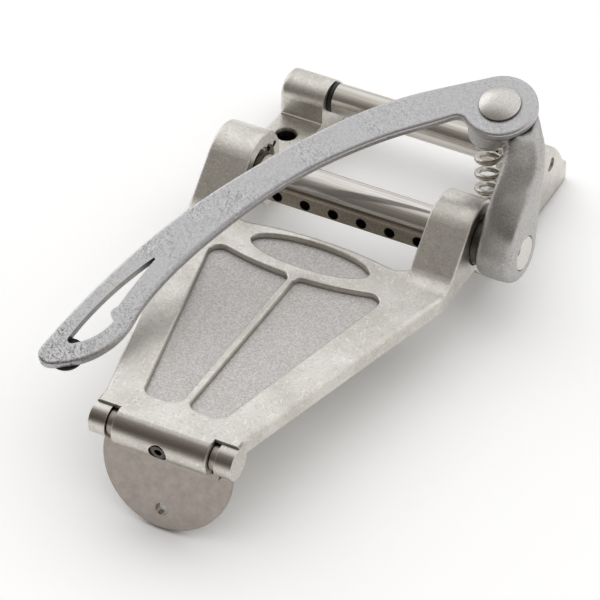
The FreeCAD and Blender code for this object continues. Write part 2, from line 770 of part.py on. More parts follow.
def disc_z(radius, top, bottom):
    """Cylinder about the pivot between two heights below the arm's top face."""
    return Part.makeCylinder(radius, abs(top - bottom), V(0, 0, min(top, bottom)))


def pad_level():
    """Height of the crank's pad below the arm's top face."""
    return -(ARM_THICK + WASHER_THICK)


def crank_side():
    """Side view about the shaft, Y along the first axis: round hub and forward-leaning limb."""
    front_foot = polar(HUB_R, LIMB_FRONT_DEG)
    rear_foot = polar(HUB_R, LIMB_REAR_DEG)
    front_top = V(LIMB_FRONT_TOP, LIMB_RISE, 0)
    rear_top = V(LIMB_REAR_TOP, LIMB_RISE, 0)
    front = [front_foot] + [V(*point) for point in LIMB_FRONT] + [front_top]
    rear = [rear_top] + [V(*point) for point in LIMB_REAR] + [rear_foot]
    return face([
        arc(rear_foot, polar(HUB_R, 270), front_foot),
        curve(front, LIMB_FRONT_DEG + 90, LIMB_FRONT_HEAD_DEG),
        line(front_top, rear_top),
        curve(rear, LIMB_REAR_HEAD_DEG, LIMB_REAR_DEG + 90),
    ])


def crank_front():
    """Front view, X along the first axis: upright hub, then both sides lean over the lug."""
    low = -HUB_R - OVERRUN
    inner_bend = V(crank_inner(), LIMB_INNER_BEND, 0)
    outer_bend = V(crank_outer(), LIMB_OUTER_BEND, 0)
    inner_top = V(crank_inner() - LIMB_INNER_LEAN, LIMB_RISE, 0)
    outer_top = V(crank_outer() - LIMB_OUTER_LEAN, LIMB_RISE, 0)
    inner, _ = arc_heading(inner_bend, 90, inner_top)
    outer, _ = arc_heading(outer_bend, 90, outer_top)
    inner_foot = V(crank_inner(), low, 0)
    outer_foot = V(crank_outer(), low, 0)
    return face([
        line(inner_foot, outer_foot),
        line(outer_foot, outer_bend),
        outer,
        line(outer_top, inner_top),
        inner,
        line(inner_bend, inner_foot),
    ])


def crank_limb():
    """Hub and limb where the two views cross, with rounded ridges."""
    reach = LIMB_INNER_LEAN + OVERRUN
    width = CRANK_WIDTH + reach + OVERRUN
    side = stand_side(crank_side().extrude(Z_AXIS * width), crank_inner() - reach)
    front = crank_front().extrude(Z_AXIS * (2 * LIMB_RISE))
    front.Placement = FreeCAD.Placement(V(0, LIMB_RISE, 0), FreeCAD.Rotation(X_AXIS, 90))
    solid = side.common(front)
    ridges = [e for e in solid.Edges if e.Curve.TypeId != "Part::GeomLine"]
    solid = solid.makeFillet(LIMB_ROUND, ridges)
    solid.translate(V(0, SHAFT_Y, SHAFT_Z))
    return solid


def crank_head():
    """Round pad under the arm's eye and the funnel down to the spring's cup."""
    level = pad_level()
    pad = on_pivot(disc_z(PAD_R, level, level - PAD_THICK))
    top = on_pivot(Part.Wire(Part.makeCircle(PAD_R, V(0, 0, level - PAD_THICK))))
    bottom = Part.Wire(Part.makeCircle(CUP_R + CUP_RIM, cup_mouth()))
    return pad.fuse(Part.makeLoft([bottom, top], True))


def cup_mouth():
    """Middle of the opening that takes the spring's upper end."""
    return SPRING_HEAD - Z_AXIS * CUP_MOUTH_DROP


def head_trim():
    """Room above the crank's head: flat over the pad, falling away as a dome beside it."""
    level = pad_level()
    far = PAD_R + SHOULDER_R
    depth = math.sqrt(SHOULDER_R ** 2 - (PAD_R + SIDE_GAP) ** 2)
    dome = Part.makeSphere(SHOULDER_R, V(0, 0, level - depth))
    shoulder = disc_z(far, level, level - SHOULDER_DROP).cut(dome)
    return [on_pivot(disc_z(far, level, level + far)), on_pivot(shoulder)]


def crank_bracket():
    """Crank: hub on the shaft, limb and head, bored for shaft, bolt and spring."""
    solid = crank_limb().fuse(crank_head())
    level = pad_level()
    bore_in = crank_inner() - OVERRUN
    bore_out = crank_outer() + OVERRUN
    cuts = head_trim() + [
        rod_x(bore_in, bore_out, SHAFT_Y, SHAFT_Z, SHAFT_D / 2),
        on_pivot(disc_z(BOLT_THREAD_D / 2, level, level - BOLT_DEPTH)),
        on_pivot(disc_z(DISC_SPRING_D / 2 + SIDE_GAP, level, level - DISC_SPRING_THICK)),
        Part.makeCylinder(CUP_R, CUP_MOUTH_DROP, cup_mouth()),
        Part.makeCylinder(SET_SCREW_D / 2, HUB_R, set_screw_base(), Z_AXIS),
    ]
    return solid.cut(cuts)


def set_screw_base():
    return V((crank_inner() + crank_outer()) / 2, SHAFT_Y, SHAFT_Z - HUB_R)


def crank_set_screw():
    """Socket grub screw under the hub, which grips the shaft."""
    tip = V(set_screw_base().x, SHAFT_Y, SHAFT_Z - SHAFT_D / 2)
    base = tip - Z_AXIS * SET_SCREW_LENGTH
    screw = Part.makeCylinder(SET_SCREW_D / 2, SET_SCREW_LENGTH, base)
    return screw.cut(hexagon_prism(SET_SOCKET_AF, base, Z_AXIS, SET_SCREW_LENGTH / 2))


def on_arm(shares):
    """Point in the arm's plane, from its shares of the sweep and the reach."""
    return V(-ARM_SWEEP * shares[0], -ARM_REACH * shares[1], 0)


def arm_outline():
    """Arm's outline about the pivot: eye, two sweeping edges and a broad tip."""
    eye_out = polar(EYE_R, EYE_LEAVE_DEG)
    eye_in = polar(EYE_R, EYE_NOTCH_DEG)
    notch_centre = polar(EYE_R + NOTCH_R, EYE_NOTCH_DEG)
    notch_in = polar(NOTCH_R, NECK_HEADING_DEG + 90, notch_centre)
    notch_mid = polar(NOTCH_R, (NECK_HEADING_DEG + EYE_NOTCH_DEG - 90) / 2, notch_centre)
    tip = on_arm(ARM_TIP)
    heel = on_arm(ARM_HEEL)
    waist = on_arm(ARM_WAIST)
    tip_arc, heel_heading = arc_heading(tip, TIP_HEADING_DEG, heel)
    heel_arc, waist_heading = arc_heading(heel, heel_heading, waist)
    outer = [eye_out] + [on_arm(shares) for shares in ARM_OUTER] + [tip]
    inner = [waist] + [on_arm(shares) for shares in ARM_INNER] + [notch_in]
    return face([
        curve(outer, EYE_LEAVE_DEG + 90, TIP_HEADING_DEG),
        tip_arc,
        heel_arc,
        curve(inner, waist_heading, NECK_HEADING_DEG),
        arc(notch_in, notch_mid, eye_in),
        arc(eye_in, polar(EYE_R, 0), eye_out),
    ])


def arm_slot():
    """Long opening in the arm's broad end, with its hooked tooth."""
    outer, foot, throat, hook, inner, top = (on_arm(shares) for shares in SLOT_MIDDLES)
    slot_top = on_arm(SLOT_TOP)
    slot_top_in = on_arm(SLOT_TOP_IN)
    slot_foot = on_arm(SLOT_FOOT)
    slot_foot_in = on_arm(SLOT_FOOT_IN)
    slot_throat = on_arm(SLOT_THROAT)
    slot_tooth = on_arm(SLOT_TOOTH)
    slot_hook = on_arm(SLOT_HOOK)
    opening = face([
        arc(slot_top, outer, slot_foot),
        arc(slot_foot, foot, slot_foot_in),
        arc(slot_foot_in, throat, slot_throat),
        line(slot_throat, slot_tooth),
        arc(slot_tooth, hook, slot_hook),
        arc(slot_hook, inner, slot_top_in),
        arc(slot_top_in, top, slot_top),
    ])
    opening.translate(Z_AXIS * -(ARM_THICK + OVERRUN))
    return opening.extrude(Z_AXIS * (ARM_THICK + 2 * OVERRUN))


def tremolo_arm():
    """Flat swept arm with a softened upper edge, an eye, a slot and a bumper seat."""
    arm = arm_outline().extrude(Z_AXIS * -ARM_THICK)
    rim = edges_where(arm, lambda p: near(p.z, 0))
    arm = arm.makeFillet(ARM_EDGE, rim)
    eye = disc_z(BOLT_SHANK_D / 2 + ARM_BUSH_WALL, 0, -ARM_THICK)
    seat = disc_z(BUMPER_STEM_R, -ARM_THICK, -ARM_THICK + BUMPER_STEM)
    seat.translate(on_arm(BUMPER_AT))
    return on_pivot(arm.cut([eye, seat, arm_slot()]))


def tip_bumper():
    """Rubber dome under the arm's tip, on a short stem."""
    centre = on_arm(BUMPER_AT) - Z_AXIS * ARM_THICK
    radius = (BUMPER_R ** 2 + BUMPER_HEIGHT ** 2) / (2 * BUMPER_HEIGHT)
    ball = Part.makeSphere(radius, centre + Z_AXIS * (radius - BUMPER_HEIGHT))
    dome = ball.common(disc_z(2 * BUMPER_R, 0, -2 * BUMPER_HEIGHT).translated(centre))
    stem = disc_z(BUMPER_STEM_R, 0, BUMPER_STEM).translated(centre)
    return on_pivot(dome.fuse(stem))


def arm_bush():
    """Plain bush in the arm's eye."""
    bolt = BOLT_SHANK_D / 2
    bush = disc_z(bolt + ARM_BUSH_WALL, 0, -ARM_THICK)
    return on_pivot(bush.cut(disc_z(bolt + RUNNING_FIT, 0, -ARM_THICK)))


def arm_pivot_bolt():
    """Shoulder bolt with a low domed head over the eye."""
    radius = BOLT_HEAD_D / 2
    rise = BOLT_HEAD_RISE - BOLT_HEAD_EDGE
    ball_r = (radius ** 2 + rise ** 2) / (2 * rise)
    start = SEAT_GAP
    ball = Part.makeSphere(ball_r, V(0, 0, start + BOLT_HEAD_EDGE + rise - ball_r))
    dome = ball.common(disc_z(2 * radius, start + BOLT_HEAD_EDGE, start + 2 * BOLT_HEAD_RISE))
    head = disc_z(radius, start, start + BOLT_HEAD_EDGE)
    shank = disc_z(BOLT_SHANK_D / 2, start, pad_level())
    thread = disc_z(BOLT_THREAD_D / 2, pad_level(), pad_level() - BOLT_DEPTH)
    return on_pivot(head.fuse([dome, shank, thread]).removeSplitter())


def arm_friction_washer():
    """Slip washer between the arm's eye and the crank's pad."""
    washer = disc_z(WASHER_R, -ARM_THICK - SEAT_GAP, pad_level())
    return on_pivot(washer.cut(disc_z(BOLT_SHANK_D / 2, 0, 2 * pad_level())))


def arm_disc_spring():
    """Spring washer in the pad's recess, which keeps the arm's friction steady."""
    level = pad_level()
    ring = disc_z(DISC_SPRING_D / 2, level, level - DISC_SPRING_THICK)
    return on_pivot(ring.cut(disc_z(BOLT_SHANK_D / 2, level, level - DISC_SPRING_THICK)))


def spring_turns():
    return SPRING_ACTIVE_TURNS + 2 * SPRING_END_TURNS


def spring_points():
    """Quarter-turn points and tangents of the spring's centre line, from its foot up.

    Each coil stays level, and the coils step sideways from the rail's seat to the cup."""
    radius = (SPRING_D - SPRING_WIRE_D) / 2
    room = SPRING_HEAD - SPRING_FOOT
    lean = room * (1 / room.z)
    height = room.z - SPRING_WIRE_D - 2 * SEAT_GAP
    ends = 2 * SPRING_END_TURNS * SPRING_END_PITCH
    active_pitch = (height - ends) / SPRING_ACTIVE_TURNS

    def pitch_at(turn):
        closed = turn < SPRING_END_TURNS or turn > spring_turns() - SPRING_END_TURNS
        return SPRING_END_PITCH if closed else active_pitch

    points = []
    z = SEAT_GAP + SPRING_WIRE_D / 2
    for step in range(round(4 * spring_turns()) + 1):
        turn = step / 4
        angle = math.tau * turn
        around = V(-math.sin(angle), math.cos(angle), 0)
        point = SPRING_FOOT + lean * z + V(math.cos(angle), math.sin(angle), 0) * radius
        tangent = (around + lean * (pitch_at(turn) / (math.tau * radius))).normalize()
        points.append((point, tangent))
        z += pitch_at(turn + 1 / 8) / 4
    return points


def tangent_arc(a, apex, b):
    """Arc from a to b, tangent to the lines through the apex."""
    middle = (a + b) * 0.5
    half = (b - a).Length / 2
    lift = (apex - middle).Length
    bulge = half * math.tan(math.atan2(lift, half) / 2)
    return arc(a, middle + (apex - middle) * (bulge / lift), b)


def biarc(start, end):
    """Two arcs that join two points in their given directions."""
    (p, s), (q, t) = start, end
    chord = q - p
    along = chord.dot(s + t)
    spread = 2 * (1 - s.dot(t))
    reach = (math.sqrt(along ** 2 + spread * chord.dot(chord)) - along) / spread
    first = p + s * reach
    last = q - t * reach
    joint = (first + last) * 0.5
    return [tangent_arc(p, first, joint), tangent_arc(joint, last, q)]


def return_spring():
    """Open coil spring: one round wire along a helix with closer end turns."""
    points = spring_points()
    edges = []
    for start, end in zip(points, points[1:]):
        edges += biarc(start, end)
    path = Part.Wire(edges)
    start, tangent = points[0]
    ring = Part.Wire(Part.makeCircle(SPRING_WIRE_D / 2, start, tangent))
    sweep = Part.BRepOffsetAPI.MakePipeShell(path)
    sweep.add(ring)
    sweep.build()
    sweep.makeSolid()
    spring = sweep.shape()
    print("spring least gap to itself: %.2f mm" % spring_gap(path))
    return spring


def spring_gap(path):
    """Least space between neighbouring turns, measured on points of the centre line."""
    points = path.discretize(Number=SPRING_SAMPLES)
    apart = round(SPRING_SAMPLES / (2 * spring_turns()))
    least = min((a - b).Length for i, a in enumerate(points) for b in points[i + apart:])
    return least - SPRING_WIRE_D


def build():
    """Every sub-part by its node name."""
    nodes = {
        "base_frame": base_frame(),
        "tail_plate": tail_plate(),
        "hinge_pin": hinge_pin(),
        "hinge_lock_screw": hinge_lock_screw(),
        "string_shaft": string_shaft(),
        "string_anchor_bar": string_anchor_bar(),
        "shaft_spacer": shaft_spacer(),
        "front_roller": front_roller(),
        "roller_axle": roller_axle(),
        "crank_bracket": crank_bracket(),
        "crank_set_screw": crank_set_screw(),
        "return_spring": return_spring(),
        "tremolo_arm": tremolo_arm(),
        "tip_bumper": tip_bumper(),
        "arm_bush": arm_bush(),
        "arm_pivot_bolt": arm_pivot_bolt(),
        "arm_friction_washer": arm_friction_washer(),
        "arm_disc_spring": arm_disc_spring(),
    }
    for name, side in SIDES.items():
        nodes["bearing_cup_" + name] = bearing_cup(side)
        nodes["needle_set_" + name] = needle_set(side)
        nodes["bearing_clip_" + name] = bearing_clip(side)
        nodes["roller_bush_" + name] = roller_bush(side)
    return nodes


os.makedirs("parts", exist_ok=True)
for node, shape in build().items():
    print(node, "solids", len(shape.Solids), "valid", shape.isValid(), "volume %.1f" % shape.Volume)
    shape.exportStep("parts/" + node + ".step")
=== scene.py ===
"""Finishes a guitar tremolo bridge: surfaces for each piece, studio floor, light and camera."""

import math

import bmesh
import bpy
from mathutils import Matrix, Vector


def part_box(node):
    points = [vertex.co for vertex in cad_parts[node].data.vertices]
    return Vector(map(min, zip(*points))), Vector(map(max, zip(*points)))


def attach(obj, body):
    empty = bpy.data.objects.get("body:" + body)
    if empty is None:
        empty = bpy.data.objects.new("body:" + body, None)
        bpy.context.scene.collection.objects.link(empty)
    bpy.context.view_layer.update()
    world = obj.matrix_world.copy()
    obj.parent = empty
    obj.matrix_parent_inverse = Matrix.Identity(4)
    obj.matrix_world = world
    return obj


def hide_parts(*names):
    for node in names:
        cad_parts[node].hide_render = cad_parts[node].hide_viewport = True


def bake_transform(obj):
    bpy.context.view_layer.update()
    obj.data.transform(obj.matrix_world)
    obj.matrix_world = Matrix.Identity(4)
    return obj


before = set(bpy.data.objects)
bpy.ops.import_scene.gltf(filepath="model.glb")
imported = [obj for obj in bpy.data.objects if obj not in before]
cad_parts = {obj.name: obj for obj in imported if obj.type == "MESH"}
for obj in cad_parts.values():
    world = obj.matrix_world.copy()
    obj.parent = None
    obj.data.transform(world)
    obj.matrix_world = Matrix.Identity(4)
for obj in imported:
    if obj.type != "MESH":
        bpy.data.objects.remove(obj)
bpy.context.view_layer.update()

bl_info = {
    "name": "Guitar tremolo bridge",
    "version": (1, 0, 0),
    "blender": (4, 5, 0),
    "location": "View3D > Sidebar > Tremolo bridge",
    "description": "Finishes and stages a guitar tremolo bridge",
    "category": "Object",
}

# Lengths and places are in metres, in the frame of the CAD model. A pair gives where a change
# starts and where it is full, unless its comment says otherwise.

# Painted shade in gaps, and painted shade inside a string hole
GAP_SHADE = "#1c1916"
STRING_HOLE_SHADE = "#0c0b0a"
# Height that full relief stands for
RELIEF = 0.0002
# Cosine between the rounded and the flat normal, where wear shows at an edge
EDGE_WEAR = (0.97, 0.8)
# Height of the sunk panels' floor in the deck, how close a point must lie to it, and how far up
# its face must point
PANEL_FLOOR = 0.011
PANEL_MARGIN = 0.0003
PANEL_LEVEL = 0.95
# Directions of the tumbling nicks about the upright and their lean, in radians, and the rise of
# the grain from bare metal to a full nick
NICK_TURNS = (0.3, 1.1, 1.9, 2.7)
NICK_LEAN = (0.2, 0.15)
NICK_FADE = 0.08
# Y of the hinge barrel, and how far up the faces of its painted dark reflection band point, from
# the crest down and from the foot up
BARREL = (-0.1555, -0.1575)
BARREL_CREST = (0.97, 0.86)
BARREL_FOOT = (0.1, 0.55)
# Screw hole of a side rail, and the distance from its middle over which its painted shade darkens
EAR_HOLE = Vector((0.0413, 0.0, 0.0))
EAR_HOLE_EDGE = (0.0044, 0.0032)
# X and Z of the middle of the string holes' row, their pitch, and the edge of their painted shade
STRING_ROW = (0.0032, 0.0154)
STRING_PITCH = 0.0104
STRING_HOLE_EDGE = (0.0021, 0.0018)
# Y over which the etching of the arm grows
ARM_ETCH = (-0.03, -0.1)
# Scale along X, which draws the ground lines out
LINE_DRAW = 0.03

# Shaft's place seen from the side, pivot of the arm and its direction
SHAFT = Vector((0.0, -0.0343, 0.0179))
PIVOT = Vector((0.044, -0.0151, 0.0586))
PIVOT_UP = Vector((0.0, -0.31565, 0.94888))

# Size of the faces in the crank's even net
CRANK_NET = 0.00035
# Front and back line of the crank's limb, each as its place ahead of the shaft and its lean with
# the rise over it, and the least depth that is taken between them
LIMB_FRONT = (0.0115, 0.27)
LIMB_BACK = (-0.0142, 0.8)
LIMB_LEAST = 0.004
# Most that the limb's back swells, the rise over which that grows and fades, the X over which it
# grows from the inner side and loses a share towards the outer side, and the share that goes
# outwards with the X over which that fades
SWELL = 0.0066
SWELL_GROWS = (0.005, 0.025)
SWELL_FADES = (0.028, 0.0365)
SWELL_INNER = (0.048, 0.0535)
SWELL_OUTER = (0.054, 0.063)
SWELL_LOSS = 0.8
SWELL_ASIDE = 0.29
ASIDE_FADES = (0.056, 0.064)
# Full curve of the limb's back: the rise that it spans, the least X, and how far back a face
# points that it takes
BACK_SPAN = (0.006, 0.036)
BACK_INNER = 0.0505
BACK_FACING = -0.1
# Rise where the curve starts, its place there behind the shaft, its lean and its bend per metre
BACK_START = 0.008
BACK_PLACE = -0.0096
BACK_LEAN = 0.2
BACK_BEND = 21
# Outer side of the curve: its lean and the X and rise from which it turns away. Inner rim: its
# bend per metre and the X up to which it rounds off
TURN_LEAN = 0.75
TURN_FROM = 0.0535
TURN_GROWS = (0.01, 0.026)
RIM_BEND = 150
RIM_TO = 0.0545
# Left as they are when the limb is smoothed: the arm's pad, by its radius and its foot below the
# pivot, the shaft's end and the inner side. Then the rounds of smoothing
PAD_RADIUS = 0.0122
PAD_FOOT = -0.0082
SHAFT_END_RADIUS = 0.0085
INNER_SIDE = 0.046
SOFTEN_ROUNDS = 120

# Angle from which an edge of the return spring's wire is sharp
SPRING_SHARP = math.radians(40)

# Paper floor: point under the front feet, Y of the tail plate's rim, room below the rim, half of
# its side, and how near the part shades it
FLOOR_FRONT = Vector((0.0, 0.0322, -0.0001))
FLOOR_REAR_Y = -0.165
FLOOR_ROOM = 0.0006
FLOOR_HALF = 30.0
FLOOR_SHADE = 0.05
# Room's brightness by the angle over the part, as a share of the half turn from the neck's side
# to behind the camera
ROOM_TONES = (
    (0.0, 0.5), (0.15, 1.0), (0.25, 1.15), (0.36, 1.08), (0.46, 1.04), (0.54, 0.86),
    (0.6, 0.62), (0.66, 0.38), (0.74, 0.26), (0.82, 0.2), (0.9, 0.16),
)
# Softbox: side, point that it faces, direction and distance from there
SOFTBOX_SIDE = 1.4
SOFTBOX_AIM = Vector((0.0, -0.06, 0.01))
SOFTBOX_FROM = Vector((-0.85, 0.3, 0.43))
SOFTBOX_AWAY = 1.8
# Camera: place, its own axes, sensor in millimetres and nearest point that it shows
CAMERA_PLACE = Vector((0.46076, -0.98997, 0.81441))
CAMERA_RIGHT = Vector((0.88845626, 0.45869051, 0.01576335))
CAMERA_UP = Vector((-0.29587091, 0.54615191, 0.78369541))
CAMERA_BACK = Vector((0.35086446, -0.70094301, 0.62094526))
CAMERA_SENSOR = 36.0
CAMERA_NEAREST = 0.05


def linear(code):
    """Linear colour from an sRGB hex code."""
    channels = [int(code[i:i + 2], 16) / 255 for i in (1, 3, 5)]
    return [c / 12.92 if c <= 0.04045 else ((c + 0.055) / 1.055) ** 2.4 for c in channels]


def rgba(colour):
    """Colour with its full alpha."""
    return (*colour, 1.0)


def per_metre(size_mm):
    """Texture scale for features of a real size in millimetres."""
    return 1000 / size_mm


def add(tree, kind, inputs, output=0, **settings):
    """Add a shader node, set its options, fill or link its inputs, and give one of its outputs.
    A Mix node's sockets share their names, so they go by number: 0 is the factor, 2 and 3 are the
    two values, 6 and 7 the two colours, and output 2 is the mixed colour."""
    made = tree.nodes.new("ShaderNode" + kind)
    for name, value in settings.items():
        setattr(made, name, value)
    for key, value in inputs.items():
        if isinstance(value, bpy.types.NodeSocket):
            tree.links.new(value, made.inputs[key])
        else:
            made.inputs[key].default_value = value
    return made.outputs[output]


def surface(name, metallic):
    """New material with its shader, and the object's own coordinates."""
    material = bpy.data.materials.new(name)
    material.use_nodes = True
    tree = material.node_tree
    shader = tree.nodes["Principled BSDF"]
    shader.inputs["Metallic"].default_value = metallic
    return material, tree, shader, add(tree, "TexCoord", {}, "Object")


def dress(tree, shader, colour, roughness, height, strength):
    """Lead colour, roughness and relief to the shader."""
    bump = add(tree, "Bump", {"Strength": strength, "Distance": RELIEF, "Height": height})
    tree.links.new(colour, shader.inputs["Base Color"])
    tree.links.new(roughness, shader.inputs["Roughness"])
    tree.links.new(bump, shader.inputs["Normal"])


def worn_edges(tree, radius_mm):
    """Mask that is white where edges have rubbed bright."""
    rounded = add(tree, "Bevel", {"Radius": radius_mm / 1000}, samples=6)
    flat = add(tree, "NewGeometry", {}, "Normal")
    turn = add(tree, "VectorMath", {0: rounded, 1: flat}, "Value", operation="DOT_PRODUCT")
    start, full = EDGE_WEAR
    return add(tree, "MapRange", {"Value": turn, "From Min": start, "From Max": full})


def crevice_shade(tree, reach_mm, shut, clear):
    """Mask that is white in holes and corners, where little open sky reaches: painted shade."""
    sky = add(tree, "AmbientOcclusion", {"Distance": reach_mm / 1000}, "AO", samples=8)
    return add(tree, "MapRange", {"Value": sky, "From Min": clear, "From Max": shut})


def tumble_nicks(tree, coords, width_mm, stretch, rare, seed):
    """Mask of short straight nicks in several directions, as tumbling media leave them. They are
    drawn as wide as they need to be to show."""
    nicks = 0.0
    for index, turn in enumerate(NICK_TURNS):
        turned = add(tree, "Mapping", {
            "Vector": coords,
            "Location": (seed + index, seed, index),
            "Rotation": (*NICK_LEAN, turn),
            "Scale": (1.0, stretch, 1.0),
        }, vector_type="TEXTURE")
        grain = add(tree, "TexNoise", {
            "Vector": turned, "Scale": per_metre(width_mm), "Detail": 1.0,
        }, "Fac")
        lines = add(tree, "MapRange", {
            "Value": grain, "From Min": rare, "From Max": rare + NICK_FADE,
        })
        nicks = add(tree, "Math", {0: nicks, 1: lines}, operation="MAXIMUM")
    return nicks


def upward(tree):
    """How far a face points up: 1 on a level top, 0 on a wall."""
    normal = add(tree, "NewGeometry", {}, "Normal")
    return add(tree, "SeparateXYZ", {0: normal}, "Z")


def panel_floor(tree, coords):
    """Mask of the sunk panels' floors, by their height and their level face."""
    height = add(tree, "SeparateXYZ", {0: coords}, "Z")
    close = add(tree, "Math", {0: height, 1: PANEL_FLOOR, 2: PANEL_MARGIN}, operation="COMPARE")
    level = add(tree, "Math", {0: upward(tree), 1: PANEL_LEVEL}, operation="GREATER_THAN")
    return add(tree, "Math", {0: close, 1: level}, operation="MULTIPLY")


def barrel_dark_reflection(tree, coords):
    """Mask of the band over the hinge barrel, by where its faces point: painted dark reflection."""
    along = add(tree, "SeparateXYZ", {0: coords}, "Y")
    up = upward(tree)
    barrel = add(tree, "MapRange", {
        "Value": along, "From Min": BARREL[0], "From Max": BARREL[1],
    })
    crest = add(tree, "MapRange", {
        "Value": up, "From Min": BARREL_CREST[0], "From Max": BARREL_CREST[1],
    })
    foot = add(tree, "MapRange", {
        "Value": up, "From Min": BARREL_FOOT[0], "From Max": BARREL_FOOT[1], "To Max": 0.85,
    })
    band = add(tree, "Math", {0: crest, 1: foot}, operation="MULTIPLY")
    return add(tree, "Math", {0: band, 1: barrel}, operation="MULTIPLY")


def screw_hole_shade(tree, coords):
    """Mask of the two screw holes in the side rails, dark with painted shade."""
    mirrored = add(tree, "VectorMath", {0: coords}, operation="ABSOLUTE")
    level = add(tree, "VectorMath", {0: mirrored, 1: (1.0, 1.0, 0.0)}, operation="MULTIPLY")
    away = add(tree, "VectorMath", {0: level, 1: EAR_HOLE}, "Value", operation="DISTANCE")
    start, full = EAR_HOLE_EDGE
    return add(tree, "MapRange", {"Value": away, "From Min": start, "From Max": full})


def string_hole_shade(tree, coords):
    """Mask of the row of string holes in the anchor bar, black inside with painted shade."""
    middle, height = STRING_ROW
    along = add(tree, "SeparateXYZ", {0: coords}, "X")
    along = add(tree, "Math", {0: along, 1: middle}, operation="SUBTRACT")
    along = add(tree, "Math", {0: along, 1: 0.0, 2: STRING_PITCH}, operation="WRAP")
    spot = add(tree, "CombineXYZ", {0: along, 1: add(tree, "SeparateXYZ", {0: coords}, "Z")})
    hole = (STRING_PITCH / 2, height, 0.0)
    away = add(tree, "VectorMath", {0: spot, 1: hole}, "Value", operation="DISTANCE")
    start, full = STRING_HOLE_EDGE
    return add(tree, "MapRange", {"Value": away, "From Min": start, "From Max": full})


def tumbled_casting(finish):
    """Cast zinc alloy, nickel plated and tumbled: a warm pale grey with clouds, fine pores and
    short bright nicks, edges rubbed bright, a painted dark reflection on the hinge barrel, painted
    shade in corners and screw holes, and plain grey grain on the blasted panel floors."""
    material, tree, shader, coords = surface("tumbled nickel-plated casting", 1.0)
    clouds = add(tree, "TexNoise", {
        "Vector": coords, "Scale": per_metre(finish.cloud * 1000), "Detail": 5.0, "Roughness": 0.62,
    }, "Fac")
    pores = add(tree, "TexNoise", {
        "Vector": coords, "Scale": per_metre(finish.pore * 1000), "Detail": 4.0, "Roughness": 0.75,
    }, "Fac")
    grit = add(tree, "TexNoise", {
        "Vector": coords, "Scale": per_metre(finish.grit * 1000), "Detail": 3.0, "Roughness": 0.8,
    }, "Fac")
    nicks = tumble_nicks(tree, coords, finish.nick * 1000, stretch=16.0, rare=0.65, seed=3.0)
    floor = panel_floor(tree, coords)
    tarnished = add(tree, "MapRange", {"Value": clouds, "From Min": 0.4, "From Max": 0.62})
    pitted = add(tree, "MapRange", {
        "Value": pores, "From Min": 0.54, "From Max": 0.72, "To Max": 0.5,
    })
    scored = add(tree, "Math", {0: nicks, 1: 0.55}, operation="MULTIPLY")
    sand = add(tree, "MapRange", {"Value": grit, "From Min": 0.34, "From Max": 0.66})
    sanded = add(tree, "Mix", {
        0: sand, 6: rgba(finish.panel_dark), 7: rgba(finish.panel_light),
    }, 2, data_type="RGBA")
    colour = rgba(finish.metal)
    for mask, tone in (
        (tarnished, rgba(finish.tarnish)),
        (pitted, rgba(finish.pores)),
        (scored, rgba(finish.worn)),
        # Painted dark reflection on the hinge barrel's band
        (barrel_dark_reflection(tree, coords), rgba(finish.barrel_reflection)),
        (worn_edges(tree, radius_mm=0.4), rgba(finish.worn)),
        (floor, sanded),
        # Painted shade in corners, deep gaps and the screw holes
        (crevice_shade(tree, reach_mm=1.6, shut=0.25, clear=0.75), rgba(finish.corner_shade)),
        (crevice_shade(tree, reach_mm=4.0, shut=0.1, clear=0.35), rgba(finish.hollow_shade)),
        (screw_hole_shade(tree, coords), rgba(finish.hollow_shade)),
    ):
        colour = add(tree, "Mix", {0: mask, 6: colour, 7: tone}, 2, data_type="RGBA")
    satin = add(tree, "MapRange", {
        "Value": clouds, "From Min": 0.3, "From Max": 0.7, "To Min": 0.3, "To Max": 0.42,
    })
    roughness = add(tree, "Mix", {0: floor, 2: satin, 3: 0.75})
    relief = add(tree, "Math", {0: pores, 1: nicks}, operation="SUBTRACT")
    relief = add(tree, "Mix", {0: floor, 2: relief, 3: grit})
    dress(tree, shader, colour, roughness, relief, strength=0.12)
    return material


